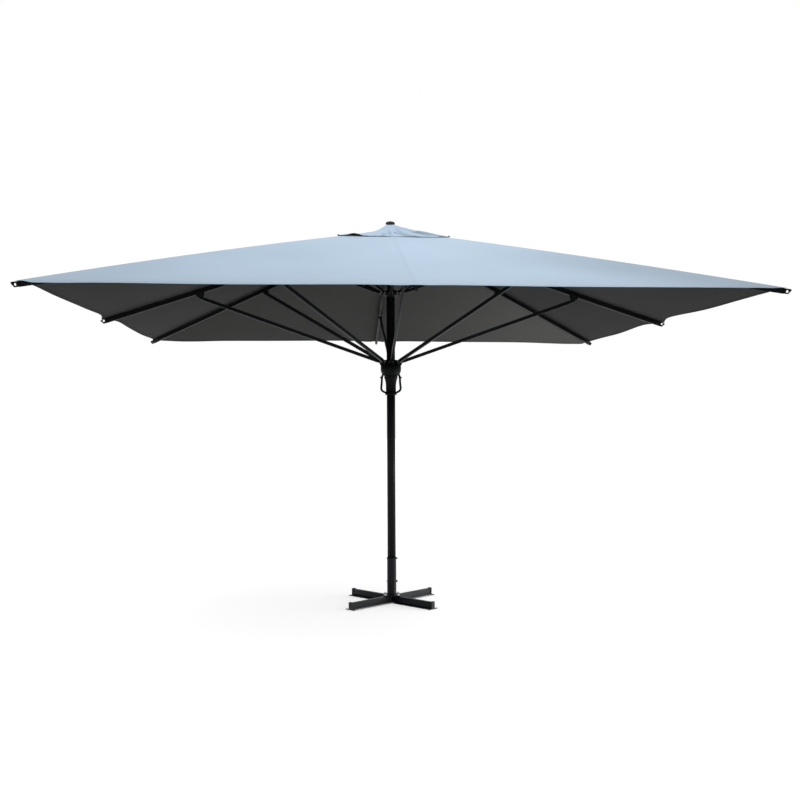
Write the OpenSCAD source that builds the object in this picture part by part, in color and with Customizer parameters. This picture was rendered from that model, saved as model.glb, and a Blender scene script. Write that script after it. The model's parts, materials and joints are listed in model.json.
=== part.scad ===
// Large square patio umbrella on a cross base, with a telescopic crown.
// Millimetres. Origin on the ground under the mast, +Z up, front towards -Y.

/* [Canopy] */
// Side of the square canopy
canopy_w = 5000; // [4900:20:5060]
// Thickness of the canopy fabric's solid
fabric_t = 1.0; // [0.8:0.1:1.5]
// Slope of the canopy's four faces, in degrees
face_slope = 18.1; // [18.0:0.1:18.2]
// Half side of the opening under the vent cap
vent_open = 420; // [400:5:430]
// Half side of the vent cap
vent_w = 466; // [464:1:467]
// Fabric above the ribs' centre lines
fabric_gap = 24; // [23.5:0.1:25]

/* [Frame] */
// Height of the rib pins on the crown
crown_z = 3291; // [3289:1:3294]
// Radius of all the pin circles: crown, collar and runner
pin_ring = 90; // [88:1:92]
// Distance from the crown pin to the link pin on a mid rib
link_len = 752; // [750:1:754]
// Distance from the crown pin to the strut pin on a mid rib
strut_len = 1680; // [1675:1:1685]
// Height of a rib tube
rib_h = 40; // [38:1:40]
// Width of a rib tube
rib_w = 25; // [24:0.5:25]
// Height of a strut tube
strut_h = 30; // [26:1:30]
// Width of a strut tube
strut_w = 20; // [18:1:20]
// Height of a link bar
link_h = 24; // [20:1:24]
// Width of a link bar
link_w = 16; // [14:1:16]
// How far the end pieces reach past the fabric
tip_out = 42; // [40:1:60]

/* [Mast] */
// Diameter of the mast
mast_d = 76; // [76:0.1:76.2]
// Height of the mast's top end
mast_top = 2795; // [2794:1:2796]
// Diameter of the telescopic inner tube
inner_d = 62; // [61.6:0.1:62]

/* [Base] */
// Length of each cross beam over its end caps
cross_len = 1022; // [960:2:1040]
// Height of a cross beam
beam_h = 63; // [60:1:66]
// Width of a cross beam's bottom flange
flange_w = 100; // [90:1:100]
// Height of the mast sleeve's top end
sleeve_top = 405; // [380:5:420]
// Turn of the cross about the mast, in degrees
base_turn = -3.9; // [-6:0.1:6]

/* [Hidden] */
$fn = 48;

// ---- directions: 0 front, 1 front right, 2 right, and so on anticlockwise seen from above
function az(i) = -90 + 45 * i;
function corner(i) = i % 2 == 1;

// ---- linkage, all angles below the horizontal for ribs and above it for links and struts
k0 = 19.5;               // mid pin line, open
k1 = 88.5;               // mid pin line, folded
c0 = 13.3;               // corner pin line, open
c1 = 88;                 // corner pin line, folded
g0 = 2 * link_len * sin(k0);
g1 = 2 * link_len * sin(k1);
h0 = 2 * strut_len * sin(k0);
h1 = 2 * strut_len * sin(k1);
collar_z = crown_z - g0;
runner_z = crown_z - h0;
runner_fall = (h1 - h0) - (g1 - g0);
link_c = (g1 * g1 - g0 * g0) / (2 * (g1 * sin(c1) - g0 * sin(c0)));
strut_c = (h1 * h1 - h0 * h0) / (2 * (h1 * sin(c1) - h0 * sin(c0)));
link_c_len = sqrt(pow(link_c * cos(c0), 2) + pow(g0 - link_c * sin(c0), 2));
strut_c_len = sqrt(pow(strut_c * cos(c0), 2) + pow(h0 - strut_c * sin(c0), 2));
link_c_up = atan2(g0 - link_c * sin(c0), link_c * cos(c0));
strut_c_up = atan2(h0 - strut_c * sin(c0), strut_c * cos(c0));

// ---- ribs: the tube lies above its pin line
mid_off = 21.5;
slope_c = atan(tan(face_slope) / sqrt(2));
apex_z = crown_z + (mid_off + fabric_gap) / cos(face_slope) + pin_ring * tan(face_slope);
corner_off = (apex_z - pin_ring * tan(slope_c) - crown_z) * cos(slope_c) - fabric_gap;
function tau(i) = corner(i) ? slope_c : face_slope;
function off(i) = corner(i) ? corner_off : mid_off;
function a_pin(i) = corner(i) ? link_c : link_len;
function b_pin(i) = corner(i) ? strut_c : strut_len;
function drop(i) = corner(i) ? c0 - slope_c : k0 - face_slope;
function reach(i) = corner(i) ? canopy_w / sqrt(2) : canopy_w / 2;
function tube_end(i) = (reach(i) - pin_ring - off(i) * sin(tau(i))) / cos(tau(i)) + 2;
function tip_len(i) = corner(i) ? tip_out + 12 : tip_out;

pin_r = 5;
hole_r = 5.25;
fit_r = 5.05;
tube_wall = 2;

// ---- helpers
module rrect(w, h, r) {
  square([w - 2 * r, h], center = true);
  square([w, h - 2 * r], center = true);
  for (x = [-1, 1], y = [-1, 1]) translate([x * (w / 2 - r), y * (h / 2 - r)]) circle(r, $fn = 24);
}
module tube2d(w, h, t, r) difference() { rrect(w, h, r); rrect(w - 2 * t, h - 2 * t, r - t + 0.6); }
// 2D in (across, up), extruded along the local x
module along(s0, s1) translate([s0, 0, 0]) rotate([90, 0, 90]) linear_extrude(height = s1 - s0) children();
// 2D in (x, up), extruded across from y0 to y1
module across(y0, y1) translate([0, y1, 0]) rotate([90, 0, 0]) linear_extrude(height = y1 - y0) children();
module both() { children(); mirror([0, 1, 0]) children(); }
module yhole(x, z, r, l) translate([x, 0, z]) rotate([90, 0, 0]) cylinder(r = r, h = l, center = true);
// local frame of a rib: origin on its crown pin, x down the tube, z up from it
module rib_frame(i) rotate([0, 0, az(i)]) translate([pin_ring, 0, crown_z]) rotate([0, tau(i), 0]) children();
// local frame of a strut or a link: origin on its inner pin, x out and up
module arm_frame(i, z, up) rotate([0, 0, az(i)]) translate([pin_ring, 0, z]) rotate([0, -up, 0]) children();
function strut_up(i) = corner(i) ? strut_c_up : k0;
function link_up(i) = corner(i) ? link_c_up : k0;
function strut_l(i) = corner(i) ? strut_c_len : strut_len;
function link_l(i) = corner(i) ? link_c_len : link_len;

// ---- base: beams lie on the diagonals
module web_profile() difference() {
  translate([0, 3 + (beam_h - 3) / 2]) rrect(30, beam_h - 3, 3);
  translate([0, 3 + (beam_h - 3) / 2]) rrect(24, beam_h - 9, 1.5);
}
beam_r = cross_len / 2 - 8;
bolt_p = 58;
module base_beam_long() color([0.06, 0.06, 0.07]) difference() {
  rotate([0, 0, 45 + base_turn]) {
    along(-beam_r, beam_r) web_profile();
    along(-beam_r, beam_r) translate([0, 1.49]) square([flange_w, 2.98], center = true);
  }
  for (s = [-1, 1]) rotate([0, 0, base_turn]) translate([s * bolt_p, s * bolt_p, 30]) cylinder(r = 6.2, h = 60);
}
module base_beam_short() color([0.06, 0.06, 0.07]) difference() {
  for (q = [135, 315]) rotate([0, 0, q + base_turn]) {
    along(15.05, beam_r) web_profile();
    along(flange_w / 2 + 0.05, beam_r) translate([0, 1.5]) square([flange_w, 2.99], center = true);
  }
  for (s = [-1, 1]) rotate([0, 0, base_turn]) translate([-s * bolt_p, s * bolt_p, 30]) cylinder(r = 6.2, h = 60);
}
module base_end_caps() color([0.03, 0.03, 0.03]) for (q = [45, 135, 225, 315]) rotate([0, 0, q + base_turn]) {
  along(beam_r + 0.05, beam_r + 8) {
    translate([0, (beam_h + 5) / 2]) rrect(38, beam_h + 5, 4);
    translate([0, 4]) rrect(flange_w + 8, 8, 2.5);
  }
  along(beam_r - 30, beam_r + 1) translate([0, 3 + (beam_h - 3) / 2]) rrect(23.4, beam_h - 9.6, 1.3);
  along(beam_r - 9, beam_r + 1) translate([0, beam_h + 2.6]) square([30, 4.8], center = true);
}
plate_z = beam_h;
module base_sleeve() color([0.06, 0.06, 0.07]) rotate([0, 0, base_turn]) difference() {
  union() {
    translate([0, 0, plate_z + 0.05]) linear_extrude(height = 8) rrect(152, 152, 14);
    rotate_extrude() polygon([[38.3, plate_z + 7], [47.5, plate_z + 7], [47.5, plate_z + 11], [44, plate_z + 16],
      [41.5, plate_z + 18], [41.5, sleeve_top - 14], [43.6, sleeve_top - 12], [43.6, sleeve_top - 2], [42.4, sleeve_top], [38.3, sleeve_top]]);
    for (z = [190, sleeve_top - 7]) translate([0, 0, z]) rotate([0, 90, 0]) translate([0, 0, 39]) cylinder(r = 9, h = 8);
    for (z = [190, sleeve_top - 7]) translate([0, 0, z]) rotate([0, -90, 0]) translate([0, 0, 39]) cylinder(r = 8, h = 6);
  }
  translate([0, 0, plate_z + 8.2]) cylinder(r = 38.3, h = 400, $fn = 96);
  for (x = [-1, 1], y = [-1, 1]) translate([x * bolt_p, y * bolt_p, plate_z - 2]) cylinder(r = 6.2, h = 14);
  for (z = [190, sleeve_top - 7]) translate([0, 0, z]) rotate([0, 90, 0]) translate([0, 0, 30]) cylinder(r = 4.1, h = 30);
}
module base_bolts() color([0.75, 0.75, 0.76]) for (x = [-1, 1], y = [-1, 1]) rotate([0, 0, base_turn]) translate([x * bolt_p, y * bolt_p, plate_z + 8.05]) {
  translate([0, 0, 0.02]) cylinder(r = 12, h = 2.4);
  translate([0, 0, 2.4]) cylinder(r = 10.4, h = 7.6, $fn = 6);
  translate([0, 0, 9.9]) cylinder(r1 = 8.6, r2 = 7.6, h = 0.8, $fn = 32);
  translate([0, 0, -38]) cylinder(r = 6, h = 39);
}
module sleeve_bolts() color([0.2, 0.2, 0.21]) for (z = [190, sleeve_top - 7]) translate([0, 0, z]) rotate([0, 0, base_turn]) rotate([0, 90, 0]) {
  translate([0, 0, 38.05]) cylinder(r = 4, h = 11);
  translate([0, 0, 47.05]) cylinder(r = 9, h = 1.6);
  translate([0, 0, 48.6]) cylinder(r = 7.6, h = 5, $fn = 6);
}

// ---- mast
lock_z = 1970;
module mast_tube() color([0.05, 0.05, 0.06]) difference() {
  translate([0, 0, plate_z + 8.3]) cylinder(r = mast_d / 2, h = mast_top - plate_z - 8.3, $fn = 96);
  translate([0, 0, plate_z]) cylinder(r = mast_d / 2 - 3, h = mast_top, $fn = 96);
  for (z = [lock_z, lock_z - runner_fall]) translate([0, 30, z]) rotate([-90, 0, 0]) cylinder(r = 5.4, h = 14);
}
// cheeks of one clevis: x out, z up, pin at (pin_ring, z)
module cheeks(z, pts, r, t) for (i = [0:7]) rotate([0, 0, az(i)]) both() difference() {
  across(6.3, 6.3 + t) { polygon(pts); translate([pin_ring, z]) circle(r); }
  yhole(pin_ring, z, fit_r, 60);
}
module hinge_pins(z, t) for (i = [0:7]) rotate([0, 0, az(i)]) {
  yhole(pin_ring, z, pin_r, 12.6 + 2 * t);
  both() translate([pin_ring, 6.35 + t, z]) rotate([-90, 0, 0]) cylinder(r = 8, h = 2.6);
  both() translate([pin_ring, 6.3 + t - 0.5, z]) rotate([-90, 0, 0]) cylinder(r = pin_r, h = 1.5);
}
module mast_collar() color([0.05, 0.05, 0.06]) {
  rotate_extrude($fn = 96) polygon([[38.05, collar_z - 34], [43, collar_z - 34], [46, collar_z - 30], [60, collar_z - 16],
    [62, collar_z - 12], [62, collar_z + 18], [58, collar_z + 22], [33, collar_z + 22], [33, mast_top + 8.3], [38.05, mast_top + 8.3]]);
  cheeks(collar_z, [[60, collar_z - 16], [78, collar_z - 13], [90, collar_z - 13], [90, collar_z + 13], [76, collar_z + 14], [60, collar_z + 16]], 13, 5);
}
module collar_pins() color([0.55, 0.55, 0.57]) hinge_pins(collar_z, 5);
module mast_bush() color([0.1, 0.1, 0.1]) rotate_extrude($fn = 96) polygon([[31.3, mast_top - 180], [34.9, mast_top - 180],
  [34.9, mast_top + 0.05], [37.8, mast_top + 0.05], [37.8, mast_top + 8], [31.3, mast_top + 8]]);

// ---- crown
module inner_tube() {
  color([0.35, 0.35, 0.37]) difference() {
    translate([0, 0, 1400]) cylinder(r = inner_d / 2, h = crown_z + 25 - 1400, $fn = 96);
    translate([0, 0, 1390]) cylinder(r = inner_d / 2 - 2.5, h = crown_z + 60 - 1390, $fn = 96);
  }
  color([0.1, 0.1, 0.1]) difference() {
    translate([0, 0, 1420]) cylinder(r = 34.7, h = 40, $fn = 96);
    translate([0, 0, 1410]) cylinder(r = inner_d / 2 + 0.02, h = 60, $fn = 96);
  }
}
module crown_hub() color([0.05, 0.05, 0.06]) {
  rotate_extrude($fn = 96) polygon([[31.05, crown_z - 40], [38, crown_z - 40], [42, crown_z - 36], [60, crown_z - 20],
    [63, crown_z - 14], [63, crown_z + 16], [58, crown_z + 24], [40, crown_z + 34], [13, crown_z + 38],
    [13, crown_z + 26], [31.05, crown_z + 26]]);
  cheeks(crown_z, [[61, crown_z - 16], [78, crown_z - 13], [90, crown_z - 13], [90, crown_z + 13], [78, crown_z + 14], [61, crown_z + 16]], 13, 5);
}
module crown_pins() color([0.55, 0.55, 0.57]) hinge_pins(crown_z, 5);
cap_z = 3410;
module finial() color([0.08, 0.09, 0.1]) {
  rotate_extrude($fn = 64) polygon([[0, crown_z + 27], [12.9, crown_z + 27], [12.9, crown_z + 46], [18, crown_z + 52],
    [18, cap_z - 26], [42, cap_z - 22], [44, cap_z - 19], [42, cap_z - 17], [12, cap_z - 8], [12, cap_z + 2], [38, cap_z - 2], [42, cap_z + 1],
    [42.5, cap_z + 6], [40, cap_z + 13], [33, cap_z + 19], [20, cap_z + 23], [8, cap_z + 24.6], [0, cap_z + 25]]);
}

// ---- runner
rb = 2040;               // foot of the bell
module runner_hub() color([0.05, 0.05, 0.06]) {
  difference() {
    rotate_extrude($fn = 96) polygon([[45.55, rb + 6], [52, rb], [64, rb + 6], [78, rb + 20], [88, rb + 38], [92, rb + 58], [92, rb + 92],
      [90, rb + 96], [70, rb + 96], [66, rb + 104], [66, runner_z + 12], [61, runner_z + 18], [42.1, runner_z + 18],
      [42.1, rb + 82], [45.55, rb + 82]]);
    rotate_extrude($fn = 96) polygon([[54, rb + 20], [62, rb + 22], [74, rb + 34], [82, rb + 48], [84, rb + 60], [84, rb + 80], [54, rb + 80]]);
    for (i = [0:7]) rotate([0, 0, az(i) + 22.5]) translate([73, 0, rb + 70]) cylinder(r = 8, h = 40);
  }
  cheeks(runner_z, [[64, rb + 96.5], [89, rb + 96.5], [98, rb + 106], [102, rb + 122], [103, runner_z], [90, runner_z + 13], [78, runner_z + 15], [64, runner_z + 15]], 13, 5);
}
module runner_sleeve() color([0.05, 0.05, 0.06]) difference() {
  union() {
    rotate_extrude($fn = 96) polygon([[42.1, 1872], [50, 1872], [52.5, 1875], [52.5, 1895], [50, 1899], [45.5, 1904], [45.5, 1952], [46.6, 1972], [50, 1994], [55, 2013], [61, 2030],
      [62, rb - 0.15], [45.5, rb - 0.15], [45.5, rb + 81.9], [42.1, rb + 81.9]]);
    translate([0, 44, lock_z]) rotate([-90, 0, 0]) cylinder(r = 12, h = 14);
  }
  translate([0, 0, 1860]) cylinder(r = 42.1, h = 300, $fn = 96);
  translate([0, 30, lock_z]) rotate([-90, 0, 0]) cylinder(r = hole_r, h = 40);
}
module runner_bush() color([0.12, 0.12, 0.12]) for (z = [[1872.5, 1925], [runner_z - 60, runner_z + 17.5]])
  rotate_extrude($fn = 96) polygon([[38.3, z[0]], [42.0, z[0]], [42.0, z[1]], [38.3, z[1]]]);
module runner_pins() color([0.55, 0.55, 0.57]) hinge_pins(runner_z, 5);
hp = [[64, rb + 30], [69, rb + 20], [76, rb + 6], [80.5, rb - 10], [82, rb - 30], [82.5, rb - 50], [85, rb - 78], [87.5, rb - 102], [85, rb - 119], [76, rb - 132], [62, rb - 140], [50, rb - 146], [40, rb - 150]];
// smooth line through the points of the handle, then its outline at a constant width
function cr(a, b, c, d, t) = 0.5 * (2 * b + (c - a) * t + (2 * a - 5 * b + 4 * c - d) * t * t + (3 * b - a - 3 * c + d) * t * t * t);
hs = [for (k = [1:len(hp) - 3], t = [0, 0.33, 0.67]) cr(hp[k - 1], hp[k], hp[k + 1], hp[k + 2], t)];
function nrm(k) = let(d = hs[min(k + 1, len(hs) - 1)] - hs[max(k - 1, 0)]) [-d[1], d[0]] / norm(d);
module loop2d() polygon(concat([for (k = [0:len(hs) - 1]) hs[k] + 9.5 * nrm(k)], [for (k = [len(hs) - 1:-1:0]) hs[k] - 9.5 * nrm(k)]));
module runner_handles() color([0.04, 0.04, 0.04]) for (m = [0, 180]) rotate([0, 0, m]) difference() {
  union() {
    across(-12, 12) loop2d();
    translate([80, 0, rb - 10]) rotate([0, 90, 0]) cylinder(r = 8, h = 17);
  }
  rotate_extrude($fn = 96) polygon([[0, 1860], [51.5, 1860], [52.65, 1875], [52.65, 1896], [50, 1900], [45.7, 1905], [45.7, rb - 1], [52, rb - 0.2], [64.2, rb + 5.7], [78.3, rb + 19.8], [88.3, rb + 37.8], [88.3, rb + 60], [0, rb + 60]]);
}
module lock_pin() color([0.5, 0.5, 0.52]) rotate([0, 0, 90]) translate([0, 0, lock_z]) rotate([0, 90, 0]) {
  translate([0, 0, 40.5]) cylinder(r = pin_r, h = 42);
  translate([0, 0, 67]) rotate_extrude() polygon([[4, 0], [9, 0], [10, 2], [10, 6], [14, 9], [15, 12], [15, 17], [12, 20], [0, 20.5], [0, 10], [4, 10]]);
}

// ---- ribs
module rib(i) color([0.05, 0.05, 0.06]) rib_frame(i)
  along(30, tube_end(i)) translate([0, off(i)]) tube2d(rib_w, rib_h, tube_wall, 4);
ck = 12.75;
// bracket cheeks on both sides of the tube, down to a pin at distance d from the crown pin
module bracket(i, d) {
  s = d * cos(drop(i));
  n = -d * sin(drop(i));
  o = off(i);
  both() difference() {
    across(ck, ck + 3.5) {
      polygon([[s - 46, o + 12], [s - 42, o + 16], [s + 42, o + 16], [s + 46, o + 12], [s + 46, o - 12], [s + 13, n], [s - 13, n], [s - 46, o - 12]]);
      translate([s, n]) circle(13);
    }
    yhole(s, n, fit_r, 60);
  }
  both() for (x = [-32, 32]) translate([s + x, ck + 3.45, o + 1]) rotate([-90, 0, 0]) cylinder(r1 = 6, r2 = 4.5, h = 2.6);
  if (corner(i)) both() translate([s, ck + 0.2, n]) rotate([-90, 0, 0]) cylinder(r = pin_r, h = 4.5);
  else yhole(s, n, pin_r, 2 * ck + 9);
  both() translate([s, ck + 3.55, n]) rotate([-90, 0, 0]) cylinder(r = 8.5, h = 2.8);
}
module rib_fittings(i) color([0.04, 0.04, 0.045]) rib_frame(i) {
  o = off(i);
  // hinge tongue, with its plug in the tube
  difference() {
    union() {
      across(-6, 6) {
        circle(13);
        polygon([[-7, 10.9], [26, o + 17.5], [31, o + 17.5], [31, o - 17.5], [12, -5]]);
      }
      along(30.5, 95) translate([0, o]) rrect(rib_w - 4.4, rib_h - 4.4, 3);
    }
    yhole(0, 0, hole_r, 40);
  }
  bracket(i, a_pin(i));
  bracket(i, b_pin(i));
  // end piece with its eyelet
  e = tube_end(i);
  l = tip_len(i);
  difference() {
    union() {
      across(-12, 12) translate([e, o]) polygon([[0.1, -18.5], [4, -18.5], [4, 18.5], [0.1, 18.5]]);
      across(-6, 6) translate([e, o]) {
        polygon([[1, -17.8], [l - 22, -18.5], [l - 5, 2], [l - 1.5, 9], [l - 3, 15], [l - 8, 18.5], [1, 17.8]]);
        translate([l - 8, 12]) circle(6.5);
        translate([l - 22, -12.5]) circle(6);
      }
      along(e - 70, e + 2) translate([0, o]) rrect(rib_w - 4.4, rib_h - 4.4, 3);
    }
    yhole(e + l - 27, corner(i) ? o - 1 : o + 6, 10, 60);
  }
  // vent stay on the corner ribs
  if (corner(i)) {
    across(-6, 6) translate([0, o + rib_h / 2 + 0.1]) polygon([[428, 0], [486, 0], [489, 3], [502, 5.2], [576, 5.2], [576, 8.7], [500, 8.7], [470, 6.8], [428, 4.5]]);
    translate([579, 0, o + rib_h / 2 + 12.2]) sphere(r = 7.5, $fn = 32);
  }
}

// ---- struts and links
module arm(l, w, h, in_w, out_w, gap) {
  along(gap, l - gap) tube2d(w, h, 2, 3.2);
  difference() {
    union() {
      across(-in_w / 2, in_w / 2) { circle(13); polygon([[0, -12.5], [gap - 0.1, -h / 2 + 1.5], [gap - 0.1, h / 2 - 1.5], [0, 12.5]]); }
      along(gap - 4, gap + 60) rrect(w - 4.8, h - 4.8, 2);
    }
    yhole(0, 0, hole_r, 60);
  }
  difference() {
    union() {
      across(-out_w / 2, out_w / 2) translate([l, 0]) circle(13);
      across(-w / 2 + 1.4, w / 2 - 1.4) polygon([[l, -12.2], [l - gap + 0.1, -h / 2 + 1.5], [l - gap + 0.1, h / 2 - 1.5], [l, 12.2]]);
      along(l - gap - 60, l - gap + 4) rrect(w - 4.8, h - 4.8, 2);
    }
    yhole(l, 0, hole_r, 60);
  }
}
module strut(i) color([0.05, 0.05, 0.06]) arm_frame(i, runner_z, strut_up(i)) arm(strut_l(i), strut_w, strut_h, 12, 24.6, 30);
module link(i) color([0.05, 0.05, 0.06]) arm_frame(i, collar_z, link_up(i)) arm(link_l(i), link_w, link_h, 12, 24.6, 22);

// ---- fabric: one field for each rib, from midway to one neighbour to midway to the other
function top_z(x, y) = apex_z - max(abs(x), abs(y)) * tan(face_slope);
vent_apex = 3410;
vent_slope = 0.398;
function vent_z(x, y) = vent_apex - max(abs(x), abs(y)) * vent_slope;
tan225 = tan(22.5);
e_gap = 0.5;
// thin shell over a plan polygon; zf 0 is the canopy, 1 the vent cap
function sz(v, x, y) = v == 0 ? top_z(x, y) : vent_z(x, y);
module shell(pts, tris, v) {
  n = len(pts);
  tv = fabric_t / cos(face_slope);
  polyhedron(
    points = concat([for (p = pts) [p[0], p[1], sz(v, p[0], p[1])]], [for (p = pts) [p[0], p[1], sz(v, p[0], p[1]) - tv]]),
    faces = concat(
      [for (t = tris) [t[2], t[1], t[0]]],
      [for (t = tris) [t[0] + n, t[1] + n, t[2] + n]],
      [for (k = [0:n - 1]) [k, (k + 1) % n, (k + 1) % n + n]],
      [for (k = [0:n - 1]) [k, (k + 1) % n + n, k + n]]));
}
// mid field about +X: quadrilateral; corner field about the +X+Y diagonal: hexagon
module mid_field(p, q, v) shell([[p, -p * tan225 + e_gap], [q, -q * tan225 + e_gap], [q, q * tan225 - e_gap], [p, p * tan225 - e_gap]],
  [[0, 1, 2], [0, 2, 3]], v);
module corner_field(p, q, v) shell([[p, p * tan225 + e_gap], [q, q * tan225 + e_gap], [q, q], [q * tan225 + e_gap, q], [p * tan225 + e_gap, p], [p, p]],
  [[0, 1, 2], [0, 2, 5], [5, 2, 3], [5, 3, 4]], v);
module canopy(i) color([0.72, 0.80, 0.88]) {
  if (corner(i)) rotate([0, 0, az(i) - 45]) { corner_field(vent_open, canopy_w / 2, 0); corner_field(46, vent_w, 1); }
  else rotate([0, 0, az(i)]) { mid_field(vent_open, canopy_w / 2, 0); mid_field(46, vent_w, 1); }
}

// ---- one line for each node
base_beam_long();
base_beam_short();
base_end_caps();
base_sleeve();
base_bolts();
sleeve_bolts();
mast_tube();
mast_collar();
collar_pins();
mast_bush();
inner_tube();
crown_hub();
crown_pins();
finial();
runner_hub();
runner_sleeve();
runner_bush();
runner_pins();
runner_handles();
lock_pin();
rib(0);  // rib_front
rib(1);  // rib_front_right
rib(2);  // rib_right
rib(3);  // rib_back_right
rib(4);  // rib_back
rib(5);  // rib_back_left
rib(6);  // rib_left
rib(7);  // rib_front_left
rib_fittings(0);  // rib_front_fittings
rib_fittings(1);  // rib_front_right_fittings
rib_fittings(2);  // rib_right_fittings
rib_fittings(3);  // rib_back_right_fittings
rib_fittings(4);  // rib_back_fittings
rib_fittings(5);  // rib_back_left_fittings
rib_fittings(6);  // rib_left_fittings
rib_fittings(7);  // rib_front_left_fittings
strut(0);  // strut_front
strut(1);  // strut_front_right
strut(2);  // strut_right
strut(3);  // strut_back_right
strut(4);  // strut_back
strut(5);  // strut_back_left
strut(6);  // strut_left
strut(7);  // strut_front_left
link(0);  // link_front
link(1);  // link_front_right
link(2);  // link_right
link(3);  // link_back_right
link(4);  // link_back
link(5);  // link_back_left
link(6);  // link_left
link(7);  // link_front_left
canopy(0);  // canopy_front
canopy(1);  // canopy_front_right
canopy(2);  // canopy_right
canopy(3);  // canopy_back_right
canopy(4);  // canopy_back
canopy(5);  // canopy_back_left
canopy(6);  // canopy_left
canopy(7);  // canopy_front_left
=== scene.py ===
import json
import math
import bpy
import bmesh
import numpy as np
from mathutils import Matrix, Vector


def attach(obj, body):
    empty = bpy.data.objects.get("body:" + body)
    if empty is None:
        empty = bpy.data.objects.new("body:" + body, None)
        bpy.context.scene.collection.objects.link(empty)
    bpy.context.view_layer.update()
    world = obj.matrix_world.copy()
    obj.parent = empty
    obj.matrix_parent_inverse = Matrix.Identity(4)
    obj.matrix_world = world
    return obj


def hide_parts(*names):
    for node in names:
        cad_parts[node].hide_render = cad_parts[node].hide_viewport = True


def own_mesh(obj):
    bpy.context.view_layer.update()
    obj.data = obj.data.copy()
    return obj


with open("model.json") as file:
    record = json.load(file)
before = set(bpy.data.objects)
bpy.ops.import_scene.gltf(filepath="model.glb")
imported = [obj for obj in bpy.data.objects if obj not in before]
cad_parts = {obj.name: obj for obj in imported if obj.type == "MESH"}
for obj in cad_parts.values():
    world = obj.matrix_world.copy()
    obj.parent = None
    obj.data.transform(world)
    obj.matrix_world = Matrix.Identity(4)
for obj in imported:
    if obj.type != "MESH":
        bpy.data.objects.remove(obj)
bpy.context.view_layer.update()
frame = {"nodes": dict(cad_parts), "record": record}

nodes = frame["nodes"]
scene = bpy.context.scene
scene.view_settings.view_transform = "Standard"
scene.view_settings.look = "None"

NAMES = ["front", "front_right", "right", "back_right", "back", "back_left", "left", "front_left"]
PIN_R = 0.090
CROWN_Z = 3.291
FACE = math.radians(18.1)
TF = math.tan(FACE)
APEX = 3.368285
HALF = 2.5
OPEN = 0.42
T22 = math.tan(math.radians(22.5))
CAP_TOP = 3.410
CAP_IN = 0.15
CAP_OUT = 0.468


def az(i):
    return math.radians(-90 + 45 * i)


# ---------------------------------------------------------------- node helpers
class Mat:
    """A material and short ways to add nodes to it."""

    def __init__(self, name):
        self.m = bpy.data.materials.new(name)
        self.m.use_nodes = True
        self.t = self.m.node_tree
        self.b = self.t.nodes["Principled BSDF"]

    def n(self, kind, **kw):
        node = self.t.nodes.new(kind)
        for k, v in kw.items():
            setattr(node, k, v)
        return node

    def link(self, a, b):
        self.t.links.new(a, b)

    def val(self, socket, v):
        if hasattr(v, "is_output"):
            self.link(v, socket)
        else:
            socket.default_value = v

    def math(self, op, a, b=0.0, c=0.0, clamp=False):
        node = self.n("ShaderNodeMath", operation=op, use_clamp=clamp)
        self.val(node.inputs[0], a)
        self.val(node.inputs[1], b)
        self.val(node.inputs[2], c)
        return node.outputs[0]

    def noise(self, vec, scale, detail=3.0, rough=0.55, dist=0.0):
        node = self.n("ShaderNodeTexNoise")
        node.inputs["Scale"].default_value = scale
        node.inputs["Detail"].default_value = detail
        node.inputs["Roughness"].default_value = rough
        node.inputs["Distortion"].default_value = dist
        self.link(vec, node.inputs["Vector"])
        return node.outputs["Fac"]

    def ramp(self, fac, stops):
        node = self.n("ShaderNodeValToRGB")
        e = node.color_ramp.elements
        while len(e) < len(stops):
            e.new(0.5)
        for k, (p, c) in enumerate(stops):
            e[k].position = p
            e[k].color = (*c, 1.0) if len(c) == 3 else c
        self.link(fac, node.inputs[0])
        return node.outputs[0]

    def smooth(self, v, a, b):
        """0 below a, 1 above b, smoothly between (a may be over b)."""
        node = self.n("ShaderNodeMapRange", interpolation_type="SMOOTHSTEP")
        self.val(node.inputs[0], v)
        node.inputs[1].default_value = a
        node.inputs[2].default_value = b
        return node.outputs[0]

    def mix(self, fac, a, b, blend="MIX"):
        node = self.n("ShaderNodeMix", data_type="RGBA", blend_type=blend)
        self.val(node.inputs[0], fac)
        for s, v in ((node.inputs[6], a), (node.inputs[7], b)):
            if hasattr(v, "is_output"):
                self.link(v, s)
            else:
                s.default_value = (*v, 1.0)
        return node.outputs[2]

    def coord(self, which="Object"):
        return self.n("ShaderNodeTexCoord").outputs[which]

    def stretched(self, vec, sx, sy, sz):
        node = self.n("ShaderNodeMapping")
        node.inputs["Scale"].default_value = (sx, sy, sz)
        self.link(vec, node.inputs["Vector"])
        return node.outputs[0]

    def bump(self, height, strength, distance, normal=None):
        node = self.n("ShaderNodeBump")
        node.inputs["Strength"].default_value = strength
        node.inputs["Distance"].default_value = distance
        self.link(height, node.inputs["Height"])
        if normal is not None:
            self.link(normal, node.inputs["Normal"])
        return node.outputs[0]


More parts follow.
